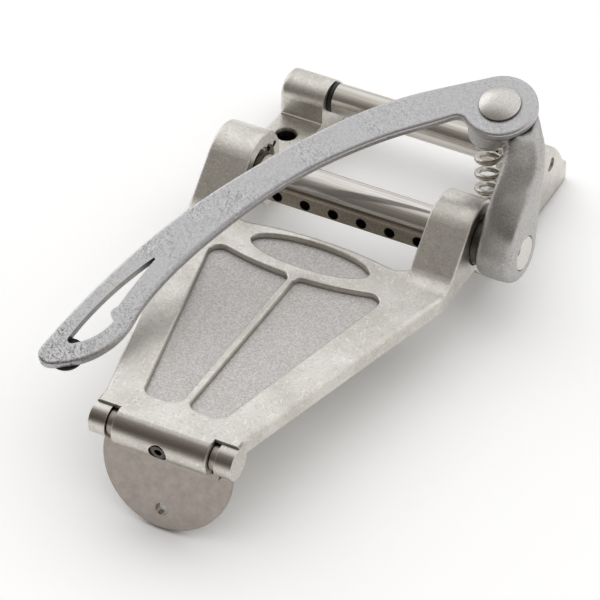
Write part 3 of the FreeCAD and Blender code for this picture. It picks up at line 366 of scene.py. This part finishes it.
def tumbled_plate(name, finish, metal, calm, seed):
    """Nickel-plated plate or casting tumbled until etched: cool grey with fine light and dark
    nicks, more of them away from the pivot, and bright rubbed edges. Where the etching is weak,
    specks still show at the calm share."""
    material, tree, shader, coords = surface(name, 1.0)
    patches = add(tree, "TexNoise", {
        "Vector": coords, "Scale": per_metre(finish.patch * 1000), "Detail": 3.0, "W": seed,
    }, "Fac", noise_dimensions="4D")
    grain = add(tree, "TexNoise", {
        "Vector": coords, "Scale": per_metre(finish.grain * 1000), "Detail": 4.0,
        "Roughness": 0.75, "W": seed,
    }, "Fac", noise_dimensions="4D")
    along = add(tree, "SeparateXYZ", {0: coords}, "Y")
    spread = add(tree, "MapRange", {
        "Value": along, "From Min": ARM_ETCH[0], "From Max": ARM_ETCH[1], "To Min": 0.35,
    })
    patchy = add(tree, "MapRange", {"Value": patches, "From Min": 0.36, "From Max": 0.6})
    inner = add(tree, "Math", {0: 1.0, 1: worn_edges(tree, radius_mm=3.0)}, operation="SUBTRACT")
    etched = add(tree, "Math", {0: spread, 1: patchy}, operation="MULTIPLY")
    etched = add(tree, "Math", {0: etched, 1: inner}, operation="MULTIPLY")
    specks = add(tree, "MapRange", {
        "Value": grain, "From Min": 0.54, "From Max": 0.34, "To Max": 0.55,
    })
    amount = add(tree, "Math", {0: etched, 1: calm}, operation="MAXIMUM")
    specks = add(tree, "Math", {0: specks, 1: amount}, operation="MULTIPLY")
    rubbed = add(tree, "Math", {0: worn_edges(tree, radius_mm=0.4), 1: 0.5}, operation="MULTIPLY")
    layers = [(specks, finish.shade)]
    height = grain
    for offset, tone, share in ((11.0, finish.shade, 1.0), (23.0, finish.worn, 0.5)):
        nicks = tumble_nicks(
            tree, coords, finish.nick * 1000, stretch=8.0, rare=0.6, seed=seed + offset)
        nicks = add(tree, "Math", {0: nicks, 1: etched}, operation="MULTIPLY")
        shown = add(tree, "Math", {0: nicks, 1: share}, operation="MULTIPLY")
        layers.append((shown, tone))
        height = add(tree, "Math", {0: height, 1: nicks}, operation="SUBTRACT")
    layers.append((rubbed, finish.worn))
    # Painted shade in corners
    layers.append((crevice_shade(tree, reach_mm=3.0, shut=0.35, clear=0.85), finish.corner_shade))
    colour = rgba(metal)
    for mask, tone in layers:
        colour = add(tree, "Mix", {0: mask, 6: colour, 7: rgba(tone)}, 2, data_type="RGBA")
    roughness = add(tree, "MapRange", {
        "Value": grain, "From Min": 0.3, "From Max": 0.7, "To Min": 0.46, "To Max": 0.34,
    })
    dress(tree, shader, colour, roughness, height, strength=0.12)
    return material


def ground_steel(name, colour, shade, roughness, line_mm, gap_shade_mm):
    """Ground or drawn steel: faint lines along the shaft, a clear gloss and painted black shade in
    its gaps.
    The lines are drawn coarser than real ones, so that they show."""
    material, tree, shader, coords = surface(name, 1.0)
    drawn = add(tree, "Mapping", {"Vector": coords, "Scale": (LINE_DRAW, 1.0, 1.0)})
    lines = add(tree, "TexNoise", {
        "Vector": drawn, "Scale": per_metre(line_mm), "Detail": 3.0,
    }, "Fac")
    bright = add(tree, "MapRange", {"Value": lines, "From Min": 0.35, "From Max": 0.6})
    # Painted shade in the steel's gaps
    shaded_gaps = crevice_shade(tree, reach_mm=gap_shade_mm, shut=0.2, clear=0.5)
    tone = rgba(linear(shade))
    for mask, code in ((bright, colour), (shaded_gaps, GAP_SHADE)):
        tone = add(tree, "Mix", {0: mask, 6: tone, 7: rgba(linear(code))}, 2, data_type="RGBA")
    gloss = add(tree, "MapRange", {
        "Value": lines, "From Min": 0.3, "From Max": 0.7,
        "To Min": roughness * 1.3, "To Max": roughness * 0.8,
    })
    dress(tree, shader, tone, gloss, lines, strength=0.02)
    return material


def matte_steel(name, colour, shade, roughness, grain_mm, holes=None):
    """Plain milled, satin or blackened steel: dull, with a fine uneven grain and painted shade in
    its corners.
    """
    material, tree, shader, coords = surface(name, 1.0)
    grain = add(tree, "TexNoise", {
        "Vector": coords, "Scale": per_metre(grain_mm), "Detail": 4.0, "Roughness": 0.7,
    }, "Fac")
    bright = add(tree, "MapRange", {"Value": grain, "From Min": 0.35, "From Max": 0.65})
    # Painted shade in corners, and below it painted shade inside the holes where a mask is given
    layers = [(bright, colour), (crevice_shade(tree, reach_mm=2.0, shut=0.4, clear=0.7), GAP_SHADE)]
    if holes:
        layers.append((holes(tree, coords), STRING_HOLE_SHADE))
    tone = rgba(linear(shade))
    for mask, code in layers:
        tone = add(tree, "Mix", {0: mask, 6: tone, 7: rgba(linear(code))}, 2, data_type="RGBA")
    dull = add(tree, "MapRange", {
        "Value": grain, "From Min": 0.3, "From Max": 0.7,
        "To Min": roughness, "To Max": roughness * 0.8,
    })
    dress(tree, shader, tone, dull, grain, strength=0.06)
    return material


def moulded(name, colour, bloom, roughness, grain_mm):
    """Moulded rubber or nylon: black, with a faint dusty bloom."""
    material, tree, shader, coords = surface(name, 0.0)
    grain = add(tree, "TexNoise", {
        "Vector": coords, "Scale": per_metre(grain_mm), "Detail": 3.0,
    }, "Fac")
    dusty = add(tree, "MapRange", {"Value": grain, "From Min": 0.45, "From Max": 0.8})
    tone = add(tree, "Mix", {
        0: dusty, 6: rgba(linear(colour)), 7: rgba(linear(bloom)),
    }, 2, data_type="RGBA")
    dull = add(tree, "MapRange", {
        "Value": grain, "From Min": 0.3, "From Max": 0.7,
        "To Min": roughness, "To Max": roughness * 0.85,
    })
    dress(tree, shader, tone, dull, grain, strength=0.08)
    return material


def ease(low, high, value):
    """Smooth step from 0 at the low end to 1 at the high end."""
    share = min(max((value - low) / (high - low), 0.0), 1.0)
    return share * share * (3 - 2 * share)


def put(context, name, data):
    """New object in the scene for a mesh, a lamp or a camera."""
    made = bpy.data.objects.new(name, data)
    context.scene.collection.objects.link(made)
    return made


def merged_copy(context, node, name):
    """New piece with the shape of a CAD node, its loose triangles merged."""
    shape = bmesh.new()
    shape.from_mesh(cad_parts[node].data)
    bmesh.ops.remove_doubles(shape, verts=shape.verts, dist=1e-6)
    mesh = bpy.data.meshes.new(name)
    shape.to_mesh(mesh)
    shape.free()
    return put(context, name, mesh)


def coat(material, *names):
    """Give CAD nodes their finish."""
    for name in names:
        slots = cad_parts[name].data.materials
        slots.clear()
        slots.append(material)


class CastingFinish(bpy.types.PropertyGroup):
    """Colours and sizes in the frame's finish"""
    metal: bpy.props.FloatVectorProperty(
        name="Nickel", description="Plated metal",
        subtype="COLOR", default=linear("#d8d5ce"))
    tarnish: bpy.props.FloatVectorProperty(
        name="Tarnish", description="Cloudy aged plating",
        subtype="COLOR", default=linear("#c9c5bd"))
    pores: bpy.props.FloatVectorProperty(
        name="Pores", description="Fine pores of the casting",
        subtype="COLOR", default=linear("#8d887f"))
    worn: bpy.props.FloatVectorProperty(
        name="Worn metal", description="Nicks and rubbed edges",
        subtype="COLOR", default=linear("#f0ede6"))
    # Painted dark reflection on the band over the barrel
    barrel_reflection: bpy.props.FloatVectorProperty(
        name="Patina", description="Dulled plating over the barrel",
        subtype="COLOR", default=linear("#8c857c"))
    # Painted shade in corners
    corner_shade: bpy.props.FloatVectorProperty(
        name="Corner", description="Dull metal in corners",
        subtype="COLOR", default=linear("#6a645c"))
    # Painted shade in deep gaps and screw holes
    hollow_shade: bpy.props.FloatVectorProperty(
        name="Hollow", description="Oily dark in deep holes",
        subtype="COLOR", default=linear(GAP_SHADE))
    panel_dark: bpy.props.FloatVectorProperty(
        name="Panel grain", description="Dark grain of blasted panels",
        subtype="COLOR", default=linear("#c6c3c0"))
    panel_light: bpy.props.FloatVectorProperty(
        name="Panel", description="Light grain of blasted panels",
        subtype="COLOR", default=linear("#ebe9e7"))
    cloud: bpy.props.FloatProperty(
        name="Cloud size", description="Width of tarnish clouds", unit="LENGTH", default=0.016)
    pore: bpy.props.FloatProperty(
        name="Pore size", description="Width of casting pores", unit="LENGTH", default=0.0011)
    nick: bpy.props.FloatProperty(
        name="Nick width", description="Width of tumbling nicks", unit="LENGTH", default=0.0006)
    grit: bpy.props.FloatProperty(
        name="Grit size", description="Grain of the blasted panels", unit="LENGTH", default=0.0007)


class PlateFinish(bpy.types.PropertyGroup):
    """Colours and sizes in the arm's and the crank's finish"""
    metal: bpy.props.FloatVectorProperty(
        name="Nickel", description="Plated metal",
        subtype="COLOR", default=linear("#c1c0c1"))
    crank: bpy.props.FloatVectorProperty(
        name="Crank's nickel", description="Plated metal of the crank",
        subtype="COLOR", default=linear("#bdbbb8"))
    shade: bpy.props.FloatVectorProperty(
        name="Dark nicks", description="Dull hollows left by tumbling",
        subtype="COLOR", default=linear("#6f6d71"))
    worn: bpy.props.FloatVectorProperty(
        name="Bright nicks", description="Rubbed nicks and edges",
        subtype="COLOR", default=linear("#e9e8e6"))
    # Painted shade in corners
    corner_shade: bpy.props.FloatVectorProperty(
        name="Corner", description="Dull metal in corners",
        subtype="COLOR", default=linear("#3b3631"))
    grain: bpy.props.FloatProperty(
        name="Grain size", description="Width of tumbling specks", unit="LENGTH", default=0.0008)
    nick: bpy.props.FloatProperty(
        name="Nick width", description="Width of tumbling nicks", unit="LENGTH", default=0.00045)
    patch: bpy.props.FloatProperty(
        name="Patch size", description="Width of etched patches", unit="LENGTH", default=0.016)


class StageLook(bpy.types.PropertyGroup):
    """Floor, light and lens"""
    floor: bpy.props.FloatVectorProperty(
        name="Floor", description="Paper sweep under the part",
        subtype="COLOR", default=linear("#f6f6f6"))
    lift: bpy.props.FloatProperty(
        name="Floor lift", description="How much the paper is lifted towards white", default=0.36)
    room: bpy.props.FloatVectorProperty(
        name="Dim side", description="Tint of the dim room behind the camera",
        subtype="COLOR", default=(1.08, 0.99, 0.9), soft_max=2.0)
    key: bpy.props.FloatProperty(
        name="Key light", description="Power of the softbox", unit="POWER", default=3.5)
    lens: bpy.props.FloatProperty(
        name="Lens", description="Focal length of the camera, in millimetres", default=240.0)


class TREMOLO_OT_frame_casting(bpy.types.Operator):
    """Finish the cast frame and the round tail plate"""
    bl_idname = "tremolo.frame_casting"
    bl_label = "Frame casting"

    def execute(self, context):
        coat(tumbled_casting(context.scene.tremolo_casting), "base_frame")
        tail = matte_steel(
            "tumbled nickel-plated sheet", "#a79f98", "#9c948c", roughness=0.36, grain_mm=3.0)
        coat(tail, "tail_plate")
        return {"FINISHED"}


class TREMOLO_OT_crank_skin(bpy.types.Operator):
    """Blend the crank's hub, limb and head into one full casting"""
    bl_idname = "tremolo.crank_skin"
    bl_label = "Blended crank"

    def execute(self, context):
        skin = self.even_copy(context, "crank_bracket")
        shape = bmesh.new()
        shape.from_mesh(skin.data)
        self.fill_back(shape)
        self.soften(shape)
        for face in shape.faces:
            face.smooth = True
        shape.to_mesh(skin.data)
        shape.free()
        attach(skin, "crank")
        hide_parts("crank_bracket")
        plate = context.scene.tremolo_plate
        finish = tumbled_plate(
            "tumbled nickel-plated crank", plate, plate.crank, calm=0.6, seed=7.0)
        skin.data.materials.append(finish)
        return {"FINISHED"}

    def even_copy(self, context, name):
        """Copy of a CAD piece with an even net of small faces."""
        skin = merged_copy(context, name, "crank_skin")
        net = skin.modifiers.new("even net", "REMESH")
        net.mode = "VOXEL"
        net.voxel_size = CRANK_NET
        merged = skin.data
        made = skin.evaluated_get(context.evaluated_depsgraph_get())
        skin.data = bpy.data.meshes.new_from_object(made)
        skin.modifiers.remove(net)
        bpy.data.meshes.remove(merged)
        return skin

    def fill_back(self, shape):
        """Swell the limb's back between hub and head, then bring it out to one full curve."""
        for vert in shape.verts:
            rise = vert.co.z - SHAFT.z
            ahead = vert.co.y - SHAFT.y
            front = LIMB_FRONT[0] + LIMB_FRONT[1] * rise
            back = LIMB_BACK[0] + LIMB_BACK[1] * rise
            depth = min(max((front - ahead) / max(front - back, LIMB_LEAST), 0.0), 1.0)
            kept = 1 - SWELL_LOSS * ease(*SWELL_OUTER, vert.co.x)
            swell = SWELL * ease(*SWELL_GROWS, rise) * (1 - ease(*SWELL_FADES, rise))
            swell *= depth * ease(*SWELL_INNER, vert.co.x) * kept
            vert.co.y -= swell
            vert.co.x += swell * SWELL_ASIDE * (1 - ease(*ASIDE_FADES, vert.co.x))
        shape.normal_update()
        low, high = BACK_SPAN
        for vert in shape.verts:
            rise = vert.co.z - SHAFT.z
            if low < rise < high and vert.co.x > BACK_INNER and vert.normal.y < BACK_FACING:
                over = rise - BACK_START
                turned = TURN_LEAN * max(vert.co.x - TURN_FROM, 0.0) * ease(*TURN_GROWS, rise)
                rim = RIM_BEND * max(RIM_TO - vert.co.x, 0.0) ** 2
                curve = SHAFT.y + BACK_PLACE + BACK_LEAN * over + BACK_BEND * over ** 2
                vert.co.y = min(vert.co.y, curve + turned + rim)

    def soften(self, shape):
        """Smooth the limb where it runs into the head."""
        limb = []
        for vert in shape.verts:
            offset = vert.co - PIVOT
            above = offset.dot(PIVOT_UP)
            away = (offset - PIVOT_UP * above).length
            beside_pad = away > PAD_RADIUS or above < PAD_FOOT
            beside_shaft = (vert.co - SHAFT).yz.length > SHAFT_END_RADIUS
            if beside_pad and beside_shaft and vert.co.x > INNER_SIDE:
                limb.append(vert)
        for _ in range(SOFTEN_ROUNDS):
            bmesh.ops.smooth_vert(
                shape, verts=limb, factor=0.5,
                use_axis_x=True, use_axis_y=True, use_axis_z=True)


class TREMOLO_OT_arm(bpy.types.Operator):
    """Finish the arm and its pivot"""
    bl_idname = "tremolo.arm"
    bl_label = "Arm and pivot"

    def execute(self, context):
        plate = context.scene.tremolo_plate
        etched = tumbled_plate(
            "tumbled nickel-plated arm plate", plate, plate.metal, calm=0.5, seed=1.0)
        coat(etched, "tremolo_arm")
        satin = matte_steel(
            "satin nickel-plated bolt", "#d6d3cf", "#c2beb9", roughness=0.36, grain_mm=0.8)
        coat(satin, "arm_pivot_bolt")
        washer = matte_steel(
            "plain steel washer", "#a8a097", "#857d74", roughness=0.45, grain_mm=0.6)
        coat(washer, "arm_friction_washer", "arm_disc_spring")
        return {"FINISHED"}


class TREMOLO_OT_shaft_and_roller(bpy.types.Operator):
    """Finish the string shaft, its anchor bar, the roller with its bushes, and the pins"""
    bl_idname = "tremolo.shaft_and_roller"
    bl_label = "Shaft and roller"

    def execute(self, context):
        polished = ground_steel(
            "ground and polished steel", "#d9d5d0", "#c8c3bc",
            roughness=0.13, line_mm=0.5, gap_shade_mm=1.5)
        coat(polished, "string_shaft", "roller_axle", "hinge_pin")
        rolled = ground_steel(
            "worn polished steel", "#d3cfc8", "#b9b3aa", roughness=0.22, line_mm=1.4, gap_shade_mm=1.5)
        coat(rolled, "front_roller")
        milled = matte_steel(
            "milled matte steel", "#a89f93", "#8d8478",
            # The anchor bar's string holes get painted shade inside
            roughness=0.5, grain_mm=0.7, holes=string_hole_shade)
        coat(milled, "string_anchor_bar")
        nylon = moulded(
            "moulded black nylon", "#1b1b1c", "#2a2a2b", roughness=0.45, grain_mm=0.5)
        coat(nylon, "roller_bush_left", "roller_bush_right", "arm_bush")
        return {"FINISHED"}


class TREMOLO_OT_bearings(bpy.types.Operator):
    """Finish the needle bearings and their clips"""
    bl_idname = "tremolo.bearings"
    bl_label = "Needle bearings"

    def execute(self, context):
        bearing = ground_steel(
            "ground bearing steel", "#bdbab6", "#a5a19c", roughness=0.22, line_mm=0.4, gap_shade_mm=0.5)
        for side in ("left", "right"):
            coat(bearing, "bearing_cup_" + side, "needle_set_" + side, "bearing_clip_" + side)
        return {"FINISHED"}


class TREMOLO_OT_spring(bpy.types.Operator):
    """Make the return spring as a smooth copy of the CAD spring, which it hides"""
    bl_idname = "tremolo.spring"
    bl_label = "Return spring"

    def execute(self, context):
        wire = matte_steel(
            "nickel-plated spring wire", "#c4bfb7", "#a19b92", roughness=0.3, grain_mm=1.2)
        coil = merged_copy(context, "return_spring", "spring_coil")
        coil.data.shade_smooth()
        coil.data.set_sharp_from_angle(angle=SPRING_SHARP)
        coil.data.materials.append(wire)
        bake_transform(coil)
        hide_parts("return_spring")
        return {"FINISHED"}


class TREMOLO_OT_screws_and_bumper(bpy.types.Operator):
    """Finish the grub screws, the shaft's spacer and the rubber bumper"""
    bl_idname = "tremolo.screws_and_bumper"
    bl_label = "Screws and bumper"

    def execute(self, context):
        oxide = matte_steel(
            "oiled black-oxide steel", "#6b6761", "#44413c", roughness=0.4, grain_mm=0.5)
        # The spacer gets the black oxide so that the narrow gap between lug and crank reads dark:
        # painted shade
        coat(oxide, "hinge_lock_screw", "crank_set_screw", "shaft_spacer")
        rubber = moulded(
            "moulded black rubber", "#171717", "#262524", roughness=0.6, grain_mm=0.6)
        coat(rubber, "tip_bumper")
        return {"FINISHED"}


class TREMOLO_OT_stage(bpy.types.Operator):
    """Lay the paper floor, light the part and set the camera"""
    bl_idname = "tremolo.stage"
    bl_label = "Floor, light and camera"

    def execute(self, context):
        look = context.scene.tremolo_stage
        self.lay_floor(context, look)
        self.light_room(context, look)
        self.hang_softbox(context, look)
        self.place_camera(context, look)
        context.scene.view_settings.view_transform = "Standard"
        return {"FINISHED"}

    def lay_floor(self, context, look):
        """Paper under the front feet and the tail plate's rim, so it leans with the part."""
        rear = Vector((0.0, FLOOR_REAR_Y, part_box("tail_plate")[0].z - FLOOR_ROOM))
        across = Vector((1.0, 0.0, 0.0))
        along = (FLOOR_FRONT - rear).normalized()
        lean = Matrix((across, along, across.cross(along))).transposed().to_4x4()
        place = Matrix.Translation((FLOOR_FRONT + rear) / 2) @ lean
        shape = bmesh.new()
        bmesh.ops.create_grid(shape, x_segments=1, y_segments=1, size=FLOOR_HALF, matrix=place)
        mesh = bpy.data.meshes.new("paper_floor")
        shape.to_mesh(mesh)
        shape.free()
        mesh.materials.append(self.white_paper(look))
        floor = put(context, "paper_floor", mesh)

    def white_paper(self, look):
        """Matte white paper: no gloss, lifted towards white where the camera or a mirror sees it,
        with the part's own shade left close to it."""
        material, tree, shader, _ = surface("matte white paper", 0.0)
        shader.inputs["Roughness"].default_value = 0.9
        shader.inputs["Specular IOR Level"].default_value = 0.1
        for socket in ("Base Color", "Emission Color"):
            shader.inputs[socket].default_value = rgba(look.floor)
        seen = 0.0
        for ray in ("Is Camera Ray", "Is Glossy Ray", "Is Transmission Ray"):
            path = add(tree, "LightPath", {}, ray)
            seen = add(tree, "Math", {0: seen, 1: path}, operation="MAXIMUM")
        clear = add(tree, "AmbientOcclusion", {"Distance": FLOOR_SHADE}, "AO", samples=8)
        clear = add(tree, "MapRange", {
            "Value": clear, "From Min": 0.25, "From Max": 0.92, "To Max": look.lift,
        })
        lift = add(tree, "Math", {0: seen, 1: clear}, operation="MULTIPLY")
        tree.links.new(lift, shader.inputs["Emission Strength"])
        return material

    def light_room(self, context, look):
        """Pale room that is bright above and behind the part and dim behind the camera."""
        world = bpy.data.worlds.new("studio")
        context.scene.world = world
        world.use_nodes = True
        tree = world.node_tree
        direction = add(tree, "TexCoord", {}, "Generated")
        along = add(tree, "SeparateXYZ", {0: direction}, "Y")
        rise = add(tree, "SeparateXYZ", {0: direction}, "Z")
        angle = add(tree, "Math", {0: rise, 1: along}, operation="ARCTAN2")
        share = add(tree, "Math", {0: angle, 1: math.pi}, operation="DIVIDE")
        tone = add(tree, "ValToRGB", {0: share})
        stops = tone.node.color_ramp.elements
        for place, level in ROOM_TONES:
            tint = [level * (warm * (1 - level) + level) for warm in look.room]
            stops.new(place).color = rgba(tint)
        # The two stops that a new ramp comes with
        stops.remove(stops[-1])
        stops.remove(stops[0])
        tree.links.new(tone, tree.nodes["Background"].inputs["Color"])

    def hang_softbox(self, context, look):
        """Softbox on the left, raised a little and towards the neck."""
        lamp = bpy.data.lights.new("softbox", "AREA")
        lamp.shape = "RECTANGLE"
        lamp.size = SOFTBOX_SIDE
        lamp.size_y = SOFTBOX_SIDE
        lamp.energy = look.key
        softbox = put(context, "softbox", lamp)
        spot = SOFTBOX_AIM + SOFTBOX_FROM.normalized() * SOFTBOX_AWAY
        turn = (SOFTBOX_AIM - spot).to_track_quat("-Z", "Y").to_matrix().to_4x4()
        softbox.matrix_world = Matrix.Translation(spot) @ turn

    def place_camera(self, context, look):
        """Long lens above the tail, to the right of the part."""
        lens = bpy.data.cameras.new("camera")
        lens.lens = look.lens
        lens.sensor_width = CAMERA_SENSOR
        lens.clip_start = CAMERA_NEAREST
        camera = put(context, "camera", lens)
        turn = Matrix((CAMERA_RIGHT, CAMERA_UP, CAMERA_BACK)).transposed().to_4x4()
        camera.matrix_world = Matrix.Translation(CAMERA_PLACE) @ turn
        context.scene.camera = camera


OPERATORS = (
    TREMOLO_OT_frame_casting,
    TREMOLO_OT_crank_skin,
    TREMOLO_OT_arm,
    TREMOLO_OT_shaft_and_roller,
    TREMOLO_OT_bearings,
    TREMOLO_OT_spring,
    TREMOLO_OT_screws_and_bumper,
    TREMOLO_OT_stage,
)


class TREMOLO_PT_bridge(bpy.types.Panel):
    """Lists the finishing steps"""
    bl_idname = "TREMOLO_PT_bridge"
    bl_label = "Tremolo bridge"
    bl_space_type = "VIEW_3D"
    bl_region_type = "UI"
    bl_category = "Tremolo bridge"

    def draw(self, context):
        for operator in OPERATORS:
            self.layout.operator(operator.bl_idname)


CLASSES = (CastingFinish, PlateFinish, StageLook, *OPERATORS, TREMOLO_PT_bridge)


def register():
    for item in CLASSES:
        bpy.utils.register_class(item)
    bpy.types.Scene.tremolo_casting = bpy.props.PointerProperty(type=CastingFinish)
    bpy.types.Scene.tremolo_plate = bpy.props.PointerProperty(type=PlateFinish)
    bpy.types.Scene.tremolo_stage = bpy.props.PointerProperty(type=StageLook)


def unregister():
    del bpy.types.Scene.tremolo_casting
    del bpy.types.Scene.tremolo_plate
    del bpy.types.Scene.tremolo_stage
    for item in reversed(CLASSES):
        bpy.utils.unregister_class(item)


def main():
    register()
    bpy.ops.tremolo.frame_casting()
    bpy.ops.tremolo.crank_skin()
    bpy.ops.tremolo.arm()
    bpy.ops.tremolo.shaft_and_roller()
    bpy.ops.tremolo.bearings()
    bpy.ops.tremolo.spring()
    bpy.ops.tremolo.screws_and_bumper()
    bpy.ops.tremolo.stage()


if __name__ == "__main__":
    main()
